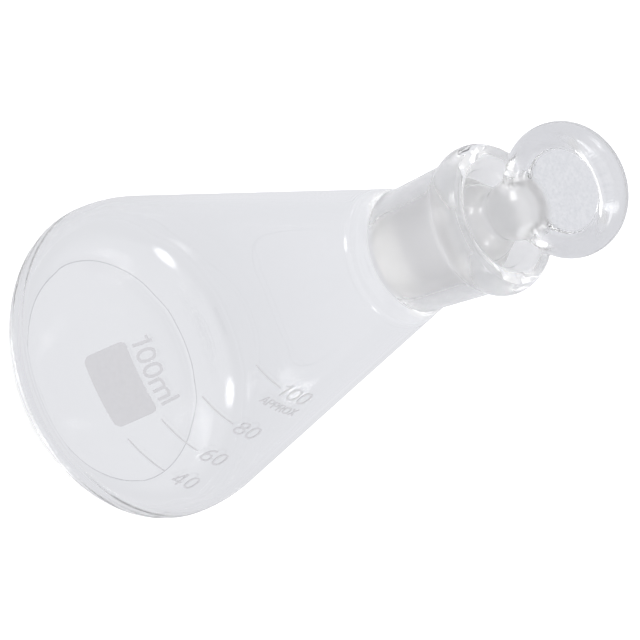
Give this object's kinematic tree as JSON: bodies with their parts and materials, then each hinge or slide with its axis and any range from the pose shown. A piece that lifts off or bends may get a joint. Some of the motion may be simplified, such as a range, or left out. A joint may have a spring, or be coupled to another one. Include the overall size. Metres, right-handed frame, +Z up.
{
  "type": "stoppered conical flask",
  "caption": "Conical laboratory flask in clear glass with a ground tapered neck, a rolled rim, enamel volume marks and a lift-out ground glass stopper with an upright round head.",
  "frame": {"origin": "centre of the base, on the plane of the ring that the flask stands on", "axes": "+Z up along the flask's axis, towards the mouth; -Y towards the side that carries the volume marks; +X to the right when the marks are faced"},
  "size_m": [0.064, 0.064, 0.1322],
  "materials": {
    "flask_glass": "clear polished borosilicate glass",
    "socket_glass": "borosilicate glass, clear outside and ground matt inside the joint",
    "stopper_glass": "solid pressed glass, fire-polished head and ground matt cone",
    "enamel": "white fired glass enamel, matt"
  },
  "bodies": {
    "flask": {"conical_body": "flask_glass", "ground_neck_socket": "socket_glass", "writing_patch": "enamel", "capacity_mark": "enamel", "graduation_lines": "enamel", "graduation_numerals": "enamel"},
    "stopper": {"stopper": "stopper_glass"}
  },
  "joints": [
    {"name": "stopper_lift", "type": "slide", "parent": "flask", "child": "stopper", "axis": [0, 0, 1], "range_m": [0, 0.05]}
  ]
}
